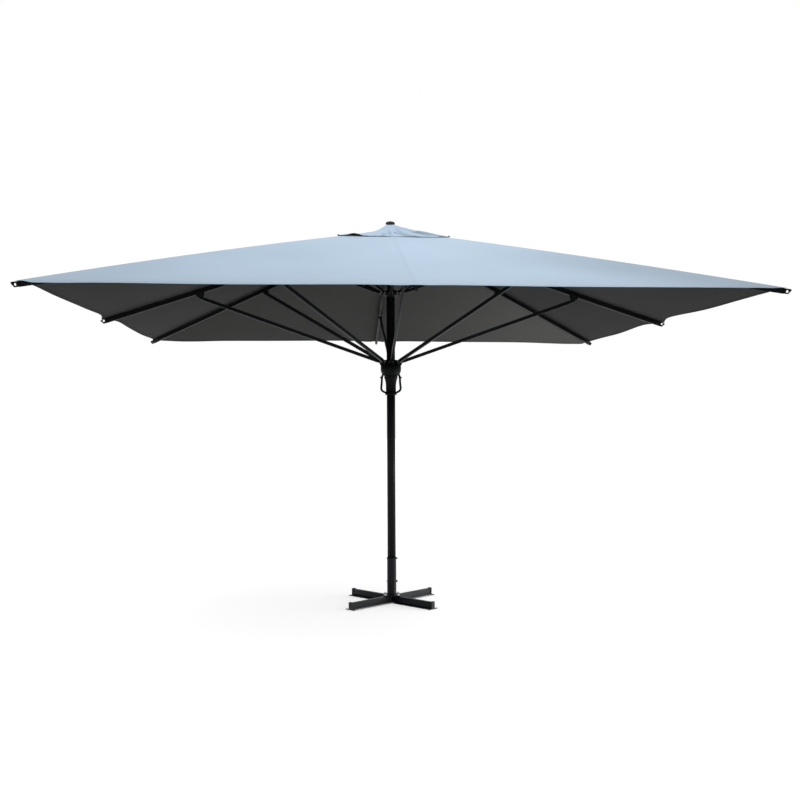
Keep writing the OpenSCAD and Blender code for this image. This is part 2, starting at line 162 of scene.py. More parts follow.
def fabric(name, light, dark, under=False, cap=False):
    m = Mat(name)
    obj = m.coord("Object")
    # colour: broad clouds, streaks along the warp, fine slubs
    cloud = m.noise(obj, 1.1, 3.0, 0.5)
    streak = m.noise(m.stretched(obj, 5.0, 90.0, 60.0), 1.0, 2.0, 0.6)
    slub = m.noise(m.stretched(obj, 900.0, 160.0, 160.0), 1.0, 1.0, 0.5)
    f = m.math("MULTIPLY_ADD", cloud, 0.62, m.math("MULTIPLY_ADD", streak, 0.26, m.math("MULTIPLY", slub, 0.12)))
    col = m.ramp(f, [(0.30, dark), (0.70, light)])
    uv = m.n("ShaderNodeUVMap", uv_map="rib").outputs[0]
    sep = m.n("ShaderNodeSeparateXYZ")
    m.link(uv, sep.inputs[0])
    u, v = sep.outputs[0], sep.outputs[1]
    au = m.math("ABSOLUTE", u)
    uv2 = m.n("ShaderNodeUVMap", uv_map="hem").outputs[0]
    sep2 = m.n("ShaderNodeSeparateXYZ")
    m.link(uv2, sep2.inputs[0])
    h, w = sep2.outputs[0], sep2.outputs[1]

    def stitches(dist, along, at, period=0.0052):
        near = m.smooth(m.math("ABSOLUTE", m.math("SUBTRACT", dist, at)), 0.0011, 0.0005)
        ph = m.math("FRACT", m.math("DIVIDE", along, period))
        dash = m.smooth(m.math("ABSOLUTE", m.math("SUBTRACT", ph, 0.5)), 0.40, 0.30)
        return near, dash

    n1, d1 = stitches(au, v, 0.0075)
    n2, d2 = stitches(au, v, 0.0020)
    n3, d3 = stitches(h, w, 0.0250)
    n4, d4 = stitches(h, w, 0.0190)
    groove = m.math("MAXIMUM", m.math("MAXIMUM", n1, n2), m.math("MAXIMUM", n3, n4))
    thread = m.math("MAXIMUM", m.math("MAXIMUM", m.math("MULTIPLY", n1, d1), m.math("MULTIPLY", n2, d2)),
                    m.math("MAXIMUM", m.math("MULTIPLY", n3, d3), m.math("MULTIPLY", n4, d4)))
    band = m.math("MAXIMUM", m.smooth(au, 0.0105, 0.0095), m.smooth(h, 0.0285, 0.0275))
    shade = tuple(0.86 * x for x in dark)
    col = m.mix(m.math("MULTIPLY", band, 0.12), col, shade)
    col = m.mix(m.math("MULTIPLY", groove, 0.22), col, tuple(0.62 * x for x in dark))
    col = m.mix(m.math("MULTIPLY", thread, 0.55), col, tuple(min(1.0, 1.08 * x) for x in light))
    # dust and runs gather at the hem
    soil = m.math("MULTIPLY", m.smooth(h, 0.30, 0.0), m.noise(m.stretched(obj, 9.0, 9.0, 3.0), 1.0, 4.0, 0.6))
    col = m.mix(m.math("MULTIPLY", soil, 0.22 if not under else 0.10), col, (0.30, 0.29, 0.27) if not under else (0.06, 0.06, 0.06))
    if not under:
        # painted shade: the cloth is darkened along its hips, most on the right
        so = m.n("ShaderNodeSeparateXYZ")
        m.link(obj, so.inputs[0])
        ax, ay = m.math("ABSOLUTE", so.outputs[0]), m.math("ABSOLUTE", so.outputs[1])
        big = m.math("MAXIMUM", ax, ay)
        near = m.smooth(m.math("ABSOLUTE", m.math("SUBTRACT", ax, ay)), 1.15, 0.0)
        far = m.math("MULTIPLY", m.smooth(big, 0.5, 1.9), m.math("MULTIPLY_ADD", m.smooth(so.outputs[0], -1.0, 1.6), 0.28, 0.05))
        hip_painted_shade = m.math("MULTIPLY", m.math("MULTIPLY", near, far), m.math("MULTIPLY_ADD", streak, 0.8, 0.6))
        col = m.mix(hip_painted_shade, col, (0.10, 0.115, 0.135))
    if cap:
        # painted shade: the pressed folds of the front face are darkened
        fold = m.n("ShaderNodeSeparateXYZ")
        m.link(obj, fold.inputs[0])
        fx, fy = fold.outputs[0], fold.outputs[1]
        for ux, uy, off, wid, s0, s1, most in ((0.468, -0.884, -0.047, 0.028, 0.07, 0.13, 0.74), (0.375, -0.927, -0.030, 0.100, 0.34, 0.45, 0.72),
                                               (0.707, -0.707, -0.034, 0.032, 0.22, 0.34, 0.66), (-0.34, -0.94, 0.0, 0.028, 0.06, 0.14, 0.46),
                                               (-0.23, -0.973, 0.0, 0.044, 0.38, 0.45, 0.60), (0.20, -0.98, 0.0, 0.016, 0.10, 0.20, 0.26)):
            d = m.math("MULTIPLY_ADD", fx, -uy, m.math("MULTIPLY_ADD", fy, ux, -off))
            run = m.math("MULTIPLY_ADD", fx, ux, m.math("MULTIPLY", fy, uy))
            line = m.math("MULTIPLY", m.smooth(m.math("ABSOLUTE", d), wid, 0.15 * wid), m.smooth(run, s0, s1))
            col = m.mix(m.math("MULTIPLY", line, most), col, (0.13, 0.18, 0.26))
    if under:
        # painted light: the back panel's underside is lightened, more to the right
        so = m.n("ShaderNodeSeparateXYZ")
        m.link(obj, so.inputs[0])
        back = m.smooth(m.math("SUBTRACT", so.outputs[1], m.math("ABSOLUTE", so.outputs[0])), -0.02, 0.06)
        back_painted_light = m.math("MULTIPLY_ADD", m.smooth(so.outputs[0], -0.2, 2.6), 0.56, 0.24)
        col = m.mix(m.math("MULTIPLY", back, back_painted_light), col, (0.070, 0.070, 0.067))
    m.link(col, m.b.inputs["Base Color"])
    rough = m.math("MULTIPLY_ADD", streak, 0.12, 0.78)
    m.link(rough, m.b.inputs["Roughness"])
    m.b.inputs["Specular IOR Level"].default_value = 0.22 if not under else 0.06
    m.b.inputs["Sheen Weight"].default_value = 0.12 if not under else 0.012
    m.b.inputs["Sheen Roughness"].default_value = 0.5
    # plain weave, about 1.3 mm a thread pair, then cloth unevenness and the stitches
    wx = m.n("ShaderNodeTexWave", wave_type="BANDS", bands_direction="X", wave_profile="SIN")
    wx.inputs["Scale"].default_value = 240.0
    wy = m.n("ShaderNodeTexWave", wave_type="BANDS", bands_direction="Y", wave_profile="SIN")
    wy.inputs["Scale"].default_value = 240.0
    m.link(obj, wx.inputs["Vector"])
    m.link(obj, wy.inputs["Vector"])
    weave = m.math("MULTIPLY", wx.outputs["Fac"], wy.outputs["Fac"])
    b1 = m.bump(weave, 0.35, 0.00012)
    b2 = m.bump(streak, 0.5, 0.00035, b1)
    b3 = m.bump(thread, 0.8, 0.0005, b2)
    b4 = m.bump(m.math("SUBTRACT", 1.0, groove), 0.5, 0.0006, b3)
    m.link(b4, m.b.inputs["Normal"])
    return m.m


def coated(name, colour, rough=0.42, spec=0.25, peel=0.35, dust=0.06, scratch=0.0):
    """Powder-coated metal: orange peel, a little dust and rubbing."""
    m = Mat(name)
    obj = m.coord("Object")
    big = m.noise(obj, 6.0, 4.0, 0.6)
    fine = m.noise(obj, 700.0, 2.0, 0.5)
    grit = m.noise(obj, 2600.0, 1.0, 0.5)
    lo = tuple(0.78 * c for c in colour)
    hi = tuple(1.25 * c for c in colour)
    col = m.ramp(big, [(0.32, lo), (0.68, hi)])
    col = m.mix(m.math("MULTIPLY", m.smooth(grit, 0.62, 0.72), 0.35), col, tuple(min(1, 2.2 * c) for c in colour))
    nor = m.n("ShaderNodeSeparateXYZ")
    m.link(m.coord("Normal"), nor.inputs[0])
    up = m.smooth(nor.outputs[2], 0.35, 0.98)
    patch = m.smooth(m.noise(obj, 38.0, 5.0, 0.65), 0.42, 0.66)
    col = m.mix(m.math("MULTIPLY", m.math("MULTIPLY", up, patch), dust * 3.0), col, (0.20, 0.195, 0.185))
    r = m.math("MULTIPLY_ADD", big, 0.18, rough - 0.09)
    if scratch:
        lines = m.noise(m.stretched(obj, 260.0, 260.0, 3.0), 1.0, 3.0, 0.7)
        mark = m.smooth(lines, 0.66, 0.74)
        col = m.mix(m.math("MULTIPLY", mark, scratch), col, tuple(min(1, 3.2 * c) for c in colour))
        r = m.math("SUBTRACT", r, m.math("MULTIPLY", mark, 0.06))
    m.link(col, m.b.inputs["Base Color"])
    m.link(r, m.b.inputs["Roughness"])
    m.b.inputs["Specular IOR Level"].default_value = spec
    b = m.bump(fine, peel, 0.00025)
    b = m.bump(grit, 0.2, 0.00008, b)
    m.link(b, m.b.inputs["Normal"])
    return m, col


def finish_coated(args):
    return args[0].m


def base_paint(name, colour, spec, top_highlight=0.0):
    m, col = coated(name, colour, 0.36, spec, 0.4, 0.05, 0.10)
    # the flange edges are worn bare in patches, which also paints in a highlight along them
    obj = m.coord("Object")
    sep = m.n("ShaderNodeSeparateXYZ")
    m.link(obj, sep.inputs[0])
    nor = m.n("ShaderNodeSeparateXYZ")
    m.link(m.coord("Normal"), nor.inputs[0])
    flat = m.smooth(m.math("ABSOLUTE", nor.outputs[2]), 0.55, 0.35)
    low = m.smooth(sep.outputs[2], 0.0046, 0.0038)
    chip = m.smooth(m.noise(obj, 46.0, 4.0, 0.6), 0.40, 0.50)
    edge_chips_and_highlight = m.math("MULTIPLY", m.math("MULTIPLY", flat, low), chip)
    wear = m.math("MULTIPLY", m.smooth(m.noise(obj, 120.0, 5.0, 0.7), 0.63, 0.70), 0.35)
    flange_wear_and_highlight = m.math("MAXIMUM", edge_chips_and_highlight, m.math("MULTIPLY", wear, low))
    if top_highlight:
        # painted highlight: the tops of the flanges are lightened in patches
        top = m.math("MULTIPLY", m.smooth(nor.outputs[2], 0.7, 0.95), low)
        patch = m.smooth(m.noise(obj, 24.0, 4.0, 0.6), 0.16, 0.38)
        flange_wear_and_highlight = m.math("MAXIMUM", flange_wear_and_highlight, m.math("MULTIPLY", m.math("MULTIPLY", top, patch), top_highlight))
    out = m.mix(flange_wear_and_highlight, col, (0.86, 0.86, 0.86))
    m.link(out, m.b.inputs["Base Color"])
    m.link(m.math("MULTIPLY", flange_wear_and_highlight, 0.10), m.b.inputs["Metallic"])
    return m.m


def moulded(name, colour, rough=0.5, spec=0.3):
    """Moulded black plastic with a spark-eroded grain."""
    m = Mat(name)
    obj = m.coord("Object")
    vor = m.n("ShaderNodeTexVoronoi")
    vor.inputs["Scale"].default_value = 950.0
    m.link(obj, vor.inputs["Vector"])
    tone = m.noise(obj, 22.0, 3.0, 0.5)
    col = m.ramp(tone, [(0.3, tuple(0.8 * c for c in colour)), (0.7, tuple(1.3 * c for c in colour))])
    rub = m.smooth(m.noise(obj, 75.0, 5.0, 0.7), 0.60, 0.72)
    col = m.mix(m.math("MULTIPLY", rub, 0.20), col, (0.09, 0.09, 0.09))
    m.link(col, m.b.inputs["Base Color"])
    m.link(m.math("MULTIPLY_ADD", tone, 0.2, rough - 0.1), m.b.inputs["Roughness"])
    m.b.inputs["Specular IOR Level"].default_value = spec
    m.link(m.bump(vor.outputs["Distance"], 0.45, 0.00022), m.b.inputs["Normal"])
    return m.m


def metal(name, colour, rough, line=(40.0, 40.0, 900.0), strength=0.2):
    m = Mat(name)
    obj = m.coord("Object")
    brushed = m.noise(m.stretched(obj, *line), 1.0, 3.0, 0.6)
    blot = m.noise(obj, 55.0, 4.0, 0.6)
    col = m.ramp(m.math("MULTIPLY_ADD", brushed, 0.5, m.math("MULTIPLY", blot, 0.5)),
                 [(0.3, tuple(0.72 * c for c in colour)), (0.72, tuple(min(1.0, 1.15 * c) for c in colour))])
    m.link(col, m.b.inputs["Base Color"])
    m.b.inputs["Metallic"].default_value = 1.0
    m.link(m.math("MULTIPLY_ADD", brushed, 0.16, rough - 0.08), m.b.inputs["Roughness"])
    m.link(m.bump(brushed, strength, 0.0001), m.b.inputs["Normal"])
    return m.m


def webbing(name, colour):
    """Narrow woven tape."""
    m = Mat(name)
    obj = m.coord("Object")
    w1 = m.n("ShaderNodeTexWave", wave_type="BANDS", bands_direction="DIAGONAL")
    w1.inputs["Scale"].default_value = 120.0
    m.link(obj, w1.inputs["Vector"])
    tone = m.noise(obj, 60.0, 3.0, 0.6)
    col = m.ramp(m.math("MULTIPLY_ADD", w1.outputs["Fac"], 0.4, m.math("MULTIPLY", tone, 0.6)),
                 [(0.25, tuple(0.7 * c for c in colour)), (0.75, tuple(min(1.0, 1.2 * c) for c in colour))])
    m.link(col, m.b.inputs["Base Color"])
    m.b.inputs["Roughness"].default_value = 0.85
    m.b.inputs["Specular IOR Level"].default_value = 0.15
    m.link(m.bump(w1.outputs["Fac"], 0.5, 0.0003), m.b.inputs["Normal"])
    return m.m


FAB_TOP = fabric("canopy_top", (0.388, 0.498, 0.615), (0.340, 0.443, 0.556))
FAB_CAP = fabric("vent_cap_top", (0.388, 0.498, 0.615), (0.340, 0.443, 0.556), cap=True)
# painted shade: the underside is a much darker copy of the canopy cloth, standing in for its shadow
FAB_UNDERSIDE_PAINTED_SHADE = fabric("canopy_underside_painted_shade", (0.0098, 0.0096, 0.0093), (0.0072, 0.0072, 0.0073), under=True)
FRAME = finish_coated(coated("frame_coat", (0.0030, 0.0040, 0.0048), 0.34, 0.085, 0.3, 0.03, 0.10))
RIBS = finish_coated(coated("rib_coat", (0.0024, 0.0026, 0.0030), 0.46, 0.05, 0.3, 0.015, 0.10))
FITTING = finish_coated(coated("fitting_coat", (0.0021, 0.0025, 0.0030), 0.44, 0.055, 0.6, 0.02))
BASE = base_paint("base_paint", (0.0042, 0.0060, 0.0092), 0.13)
# painted light: a lighter copy of the base paint for the long beams, whose seen sides face the light; their flange tops
# get a painted highlight
BASE_LONG_LIT = base_paint("base_paint_painted_light", (0.020, 0.022, 0.025), 0.20, 0.95)
PLASTIC = moulded("black_moulding", (0.010, 0.010, 0.011))
ZINC = metal("zinc_plate", (0.74, 0.75, 0.77), 0.30, (60, 60, 60))
STEEL = metal("dark_steel", (0.17, 0.17, 0.18), 0.40, (80, 80, 80))
INNER = metal("anodised_tube", (0.115, 0.118, 0.125), 0.38, (700.0, 700.0, 6.0), 0.3)
PATCH = webbing("pocket_tape", (0.0135, 0.0140, 0.0150))

BY_SLOT = {"frame_black": FRAME, "fittings_black": FITTING, "base_steel": BASE, "black_plastic": PLASTIC,
           "bright_steel": ZINC, "dark_steel": STEEL, "inner_aluminium": INNER, "canopy_fabric": FAB_TOP}
SLOT_OF = {s["node"]: s["material_slot"] for s in frame["record"]["subparts"]}


def dress(name, o):
    mat = BASE_LONG_LIT if name == "base_beam_long" else RIBS if name.startswith(("rib_", "link_")) and not name.endswith("fittings") else BY_SLOT[SLOT_OF[name]]
    if not o.data.materials:
        o.data.materials.append(mat)
    for k in range(len(o.data.materials)):
        o.data.materials[k] = mat
        if k < len(o.material_slots):
            o.material_slots[k].material = mat


BEVEL = {"base_beam_long": 0.0009, "base_beam_short": 0.0009, "base_end_caps": 0.0012, "base_sleeve": 0.0010,
         "base_bolts": 0.0006, "sleeve_bolts": 0.0006, "mast_collar": 0.0008, "crown_hub": 0.0008,
         "runner_hub": 0.0008, "runner_sleeve": 0.0008, "lock_pin": 0.0005, "finial": 0.0008}
for name, o in nodes.items():
    dress(name, o)
    wd = o.modifiers.new("weld", "WELD")
    wd.merge_threshold = 0.00002
    width = BEVEL.get(name, 0.0006 if name.endswith("fittings") or name.startswith(("strut", "link")) else 0.0)
    if width:
        bv = o.modifiers.new("edge", "BEVEL")
        bv.width = width
        bv.segments = 2
        bv.limit_method = "ANGLE"
        bv.angle_limit = math.radians(38)
        bv.use_clamp_overlap = True
        bv.harden_normals = False
    o.data.polygons.foreach_set("use_smooth", np.ones(len(o.data.polygons), bool))


# ---------------------------------------------------------------- cloth surface
def smoothstep(a, b, x):
    t = np.clip((x - a) / (b - a), 0.0, 1.0)
    return t * t * (3 - 2 * t)


WAVES = [(0.0011, 1.9, 0.7, 0.4), (0.0009, -1.1, 2.6, 1.9), (0.0007, 3.8, -1.7, 2.8), (0.0006, 2.2, 4.9, 0.9),
         (0.0004, -6.3, 2.4, 4.1), (0.0004, 5.1, 6.6, 5.3), (0.0003, 9.7, -3.9, 1.2), (0.0003, -4.6, -10.3, 3.3)]


def signed_weight(x, y, cx, cy, r):
    return np.exp(-((x - cx) ** 2 + (y - cy) ** 2) / (2 * r * r))


def canopy_top(x, y, edge):
    """Height of the cloth's top face. edge is the distance in from the hem."""
    ax, ay = np.abs(x), np.abs(y)
    m = np.maximum(ax, ay)
    o = np.minimum(ax, ay)
    k = 0.022
    h = np.clip(k - (m - o), 0, k) / k
    ms = m + h * h * k / 4
    t = np.clip(o / np.maximum(m, 1e-6), 0, 1)
    q = np.clip((m - OPEN) / (HALF - OPEN), 0, 1)
    z = APEX - ms * TF
    # the cloth hangs a little between its ribs
    span = np.sin(np.pi * t) ** 0.9
    face = np.where(ax > ay, 0.008, np.where(y < 0, np.where(x < 0, 0.0060, 0.0050), 0.006))
    amp = 0.015 * 4 * q * (1 - q) + face * q + 0.002
    z = z - amp * span
    # the two left hips stand a little proud where the struts push them up
    hip = np.exp(-(((m - o) / 0.55) ** 2))
    left = smoothstep(0.0, 0.5, -x)
    z = z + (0.010 + 0.004 * left) * hip * np.sin(np.pi * np.clip((m - 0.50) / 2.0, 0, 1)) ** 0.8
    # slow unevenness and pull lines, none on the ribs
    free = np.clip(np.sin(np.pi * t), 0, 1) ** 0.7
    rel = np.zeros_like(x)
    for a, kx, ky, ph in WAVES:
        rel += a * np.sin(kx * x + ky * y + ph)
    z = z + rel * free * smoothstep(0.0, 0.05, edge)
    # pull lines running in from the corner pockets, along the hips
    lat = (m - o) / math.sqrt(2)
    along = (m + o) / math.sqrt(2)
    fan = np.sin(lat * 42.0 / (0.35 + 0.35 * np.clip(3.4 - along, 0.05, 3))) * np.exp(-lat / 0.30) * smoothstep(0.004, 0.05, lat)
    z = z + 0.0011 * fan * smoothstep(2.0, 3.2, along)
    # the hem turns down between the rib ends
    clear = smoothstep(0.018, 0.09, o) * smoothstep(0.018, 0.09, m - o)
    drop = np.where((ay > ax) & (y < 0), np.where(x < 0, 0.0065, 0.0040), 0.0060) + 0.0015 * np.sin(3.1 * (x + 1.7 * y))
    z = z - clear * drop * (np.clip(1 - edge / 0.020, 0, 1) ** 1.4)
    # loose corners of the panels hang a little lower
    back = (ay > ax) & (y > 0)
    droop = np.where((ay > ax) & (y < 0), 0.009 * np.exp(-((x + 2.36) / 0.32) ** 2), 0.0)
    droop = droop + np.where(back, 0.003 + 0.015 * np.exp(-((x + 2.15) / 0.30) ** 2) + 0.020 * np.exp(-((x - 2.3) / 0.45) ** 2) + 0.006 * smoothstep(0.0, 1.0, x), 0.0)
    z = z - clear * droop * np.exp(-edge / 0.14)
    return z


def canopy_lift(x, y, edge, inner):
    """Extra thickness outwards for seams and hems."""
    ax, ay = np.abs(x), np.abs(y)
    m, o = np.maximum(ax, ay), np.minimum(ax, ay)
    mid = smoothstep(0.0125, 0.0095, o)
    hip = smoothstep(0.0125, 0.0095, (m - o) / math.sqrt(2))
    hem = smoothstep(0.0300, 0.0270, edge)
    lip = smoothstep(0.0250, 0.0220, inner)
    cross = smoothstep(0.0110, 0.0080, np.abs(m - 0.93))
    return np.maximum.reduce([mid * 0.9, hip * 0.9, hem * 1.0, lip * 0.8, cross * 0.6]) * 0.001


CAP_M = [0.0, 0.046, 0.085, 0.12, 0.165, 0.21, 0.256, 0.32, 0.385, 0.43, 0.475]
CAP_L = [3.411, 3.3915, 3.363, 3.340, 3.3130, 3.2945, 3.276, 3.260, 3.248, 3.237, 3.221]
CAP_R = [3.412, 3.3970, 3.376, 3.362, 3.3410, 3.3255, 3.309, 3.284, 3.256, 3.240, 3.220]


def cap_top(x, y, edge):
    """Height of the vent cap's top face."""
    ax, ay = np.abs(x), np.abs(y)
    m, o = np.maximum(ax, ay), np.minimum(ax, ay)
    k = 0.016
    h = np.clip(k - (m - o), 0, k) / k
    ms = m + h * h * k / 4
    q = np.clip((m - 0.046) / (CAP_OUT - 0.046), 0, 1)
    t = np.clip(o / np.maximum(m, 1e-6), 0, 1)
    w = smoothstep(-0.06, 0.06, x)
    z = (1 - w) * np.interp(ms, CAP_M, CAP_L) + w * np.interp(ms, CAP_M, CAP_R)
    # slack cloth: sags between the hips
    z = z - 0.012 * np.sin(np.pi * q) * (1 - t ** 3) - 0.002 * q * (1 - t * t)
    th = np.arctan2(y, x)
    ease = q ** 1.2 * (1 - t ** 8)
    z = z + ease * (0.0030 * np.sin(7 * th + 0.6) + 0.0024 * np.sin(13 * th + 2.2) + 0.0014 * np.sin(23 * th + 4.0))
    # pressed folds: a strong one down the front, right of its middle, and lesser ones on the other faces
    for (fx, fy, dep, wid) in ((0.190, -0.47, -0.046, 0.028), (-0.12, -0.47, -0.018, 0.022), (0.05, -0.47, -0.012, 0.018), (0.36, -0.47, -0.020, 0.022), (0.47, 0.16, 0.010, 0.020),
                               (-0.47, -0.13, 0.010, 0.022), (-0.20, 0.47, 0.010, 0.020), (0.24, 0.47, 0.006, 0.018), (0.47, -0.22, 0.006, 0.016)):
        L = math.hypot(fx, fy)
        ux, uy = fx / L, fy / L
        s = x * ux + y * uy
        d = -x * uy + y * ux
        on = smoothstep(0.03, 0.16, s)
        # a fold leans one way: its steep side is on the right where dep is negative
        d = -d if dep < 0 else d
        step = np.where(d > 0, np.exp(-np.abs(d) / (wid * 2.4)), np.exp(-np.abs(d) / (wid * 0.45)))
        z = z - abs(dep) * on * step * (0.45 + 0.55 * q)
    # small dimples where the cloth is gathered near the top
    for (cx, cy, dep, r) in ((-0.105, -0.20, 0.014, 0.018), (0.19, -0.215, 0.008, 0.020), (0.12, 0.21, 0.008, 0.018), (-0.21, 0.10, 0.008, 0.018)):
        z = z - dep * signed_weight(x, y, cx, cy, r)
    # the front left of the edge stands open, the rest lies lightly on the canopy
    z = z + 0.025 * signed_weight(x, y, -0.335, -0.475, 0.042) + 0.006 * signed_weight(x, y, 0.12, -0.475, 0.05)
    # ribs and stays carry it
    lat = (m - o) / math.sqrt(2)
    plane = APEX - ms * TF
    on_rib = np.maximum(smoothstep(0.020, 0.012, o), smoothstep(0.020, 0.012, lat))
    out = smoothstep(0.385, 0.412, m)
    low = plane - 0.022 * (1 - on_rib) * (1 - out) - 0.0015 * on_rib * (1 - out) + out * (0.0035 + 0.0045 * smoothstep(0.020, 0.012, lat))
    return np.maximum(z, low)


def grid_piece(name, xs, ys, top, bottom, ribuv, hemuv, smooth=True, mats=None, flip=False, rim_top=()):
    """A closed thin shell over a grid. rim_top names the borders (0 first row, 1 last row) that show the top cloth."""
    R, C = xs.shape
    n = R * C
    vt = np.stack([xs, ys, top], -1).reshape(-1, 3)
    vb = np.stack([xs, ys, bottom], -1).reshape(-1, 3)
    verts = np.concatenate([vt, vb])
    idx = np.arange(n).reshape(R, C)
    a, b, c, d = idx[:-1, :-1].ravel(), idx[:-1, 1:].ravel(), idx[1:, 1:].ravel(), idx[1:, :-1].ravel()
    faces = [(int(p), int(q), int(r), int(s)) for p, q, r, s in zip(a, b, c, d)]
    mi = [0] * len(faces)
    under = [(s + n, r + n, q + n, p + n) for p, q, r, s in faces]
    faces += under
    mi += [1] * len(under)

    def rim(line, mat):
        for p, q in zip(line[:-1], line[1:]):
            faces.append((int(q), int(p), int(p) + n, int(q) + n))
            mi.append(mat)
    rim(idx[0, :], 0 if 0 in rim_top else 1)
    rim(idx[:, -1], 1)
    rim(idx[-1, ::-1], 0 if 1 in rim_top else 1)
    rim(idx[::-1, 0], 1)
    if flip:
        faces = [tuple(reversed(f)) for f in faces]
    me = bpy.data.meshes.new(name)
    me.from_pydata(verts.tolist(), [], faces)
    me.update()
    for m in mats or (FAB_TOP, FAB_UNDERSIDE_PAINTED_SHADE):
        me.materials.append(m)
    me.polygons.foreach_set("material_index", mi)
    me.polygons.foreach_set("use_smooth", [True] * len(faces))
    loops = np.zeros(len(me.loops), int)
    me.loops.foreach_get("vertex_index", loops)
    loops = loops % n
    for layer, (p, q) in (("rib", ribuv), ("hem", hemuv)):
        uv = me.uv_layers.new(name=layer)
        both = np.stack([p.ravel()[loops], q.ravel()[loops]], -1).astype(np.float32)
        uv.data.foreach_set("uv", both.ravel())
    # sharp rims, so that the two faces shade on their own
    sharp = me.attributes.get("sharp_edge") or me.attributes.new("sharp_edge", "BOOLEAN", "EDGE")
    ev = np.zeros(len(me.edges) * 2, int)
    me.edges.foreach_get("vertices", ev)
    ev = ev.reshape(-1, 2)
    r, c = (ev % n) // C, (ev % n) % C
    same = (ev[:, 0] < n) == (ev[:, 1] < n)
    border = ((r[:, 0] == r[:, 1]) & ((r[:, 0] == 0) | (r[:, 0] == R - 1))) | ((c[:, 0] == c[:, 1]) & ((c[:, 0] == 0) | (c[:, 0] == C - 1)))
    sharp.data.foreach_set("value", (same & border))
    o = bpy.data.objects.new(name, me)
    scene.collection.objects.link(o)
    return o


def rot2(x, y, a):
    return x * math.cos(a) - y * math.sin(a), x * math.sin(a) + y * math.cos(a)


def spaced(stops):
    out = []
    for a, b, step in stops:
        k = max(1, int(round((b - a) / step)))
        out += list(np.linspace(a, b, k + 1)[:-1])
    out.append(stops[-1][1])
    return np.array(out)


T_MID = np.array([0, .0025, .0042, .0055, .0075, .012, .024, .045, .07, .10, .13, .16, .19, .22, .25, .28, .31, .34, .37, .395, T22])
T_MID = np.concatenate([-T_MID[:0:-1], T_MID])
T_HIP = np.array([T22, .435, .46, .49, .52, .55, .58, .61, .64, .67, .70, .73, .76, .79, .82, .85, .88, .91, .935, .955, .97, .981, .988, .9915, .994, .996, .998, 1.0])
ROWS = spaced([(OPEN, OPEN + .020, .010), (OPEN + .020, OPEN + .026, .003), (OPEN + .026, .916, .035), (.916, .944, .0035), (.944, 2.44, .032),
               (2.44, 2.468, .014), (2.468, 2.476, .002), (2.476, 2.5, .004)])
CAP_ROWS = spaced([(CAP_IN, .442, .0075), (.442, .452, .0025), (.452, CAP_OUT, .003)])
IN_ROWS = spaced([(.026, .046, .0045), (.046, CAP_IN, .008)])


def cloth_grid(t, rows, cap, a):
    """Plan positions about +X for the parameters, and how far each point is from the hem."""
    T, M = np.meshgrid(t, rows)
    if not cap:
        at = np.abs(T)
        wx, wy = rot2(M, M * T, a)
        end = np.abs(wx) > np.abs(wy)
        flat = np.where(end, np.where(wx < 0, np.where(wy < 0, 0.020, 0.008), np.where(wy < 0, 0.009, 0.008)), np.where(wy < 0, 0.008, 0.012))
        near = np.where(end, np.where(wx < 0, np.where(wy < 0, 0.013, 0.042), np.where(wy < 0, 0.040, 0.034)), 0.004)
        held = (1 - np.exp(-(M * at / 0.20) ** 1.5)) * (1 - np.exp(-M * (1 - at) / 0.13))
        side = flat + near * np.exp(-((M * at / 0.95) ** 2))
        X = M - side * held * smoothstep(1.5, 2.5, M)
        X = X + np.maximum(0.035 * np.exp(-(M * at / 0.20) ** 1.5), 0.018 * np.exp(-M * (1 - at) / 0.060)) * smoothstep(2.36, 2.5, M)
        edge = HALF - M
        inner = M - OPEN
    else:
        X = M
        edge = CAP_OUT - M
        inner = np.full_like(M, 1.0)
    return X, X * T, T, M, edge, inner


def cloth(name, t, rows, a, cap, hip=None):
    X, Y, T, M, edge, inner = cloth_grid(t, rows, cap, a)
    x, y = rot2(X, Y, a)
    # mesh borders meet on exactly the same numbers
    if cap:
        z = cap_top(x, y, edge)
        hem = smoothstep(0.024, 0.021, edge) * 0.0006
        up, down = hem, -0.0008 - hem
    else:
        z = canopy_top(x, y, edge)
        lift = canopy_lift(x, y, edge, inner)
        up, down = lift, -0.0009 - 0.4 * lift
    lat = Y if hip is None else (X - np.abs(Y)) / math.sqrt(2)
    along = X if hip is None else (X + np.abs(Y)) / math.sqrt(2)
    width = np.abs(Y) if True else Y
    return grid_piece(name, x, y, z + up, z + down, (lat, along), (edge, Y), rim_top=(0, 1), mats=(FAB_CAP, FAB_UNDERSIDE_PAINTED_SHADE) if cap else None)


def keep_cloth(o, i):
    n = NAMES[i]
    if "cap" not in o.name or True:
        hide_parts("canopy_" + n)
    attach(o, "rib_" + n)
    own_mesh(o)


for i, n in enumerate(NAMES):
    a = az(i)
    if i % 2 == 0:
        o = cloth("canopy_gore_" + n, T_MID, ROWS, a, False)
        o["side"] = 0
        keep_cloth(o, i)
        o = cloth("vent_gore_" + n, T_MID, CAP_ROWS, a, True)
        o["side"] = 0
        keep_cloth(o, i)
    else:
        for side, tag in ((1, "a"), (-1, "b")):
            # side 1: the face clockwise of the hip, whose +t border is the hip
            fa = a - side * math.radians(45)
            t = T_HIP if side > 0 else -T_HIP[::-1]
            o = cloth(f"canopy_gore_{n}_{tag}", t, ROWS, fa, False, hip=True)
            o["side"] = side
            keep_cloth(o, i)
            o = cloth(f"vent_gore_{n}_{tag}", t, CAP_ROWS, fa, True, hip=True)
            o["side"] = side
            keep_cloth(o, i)

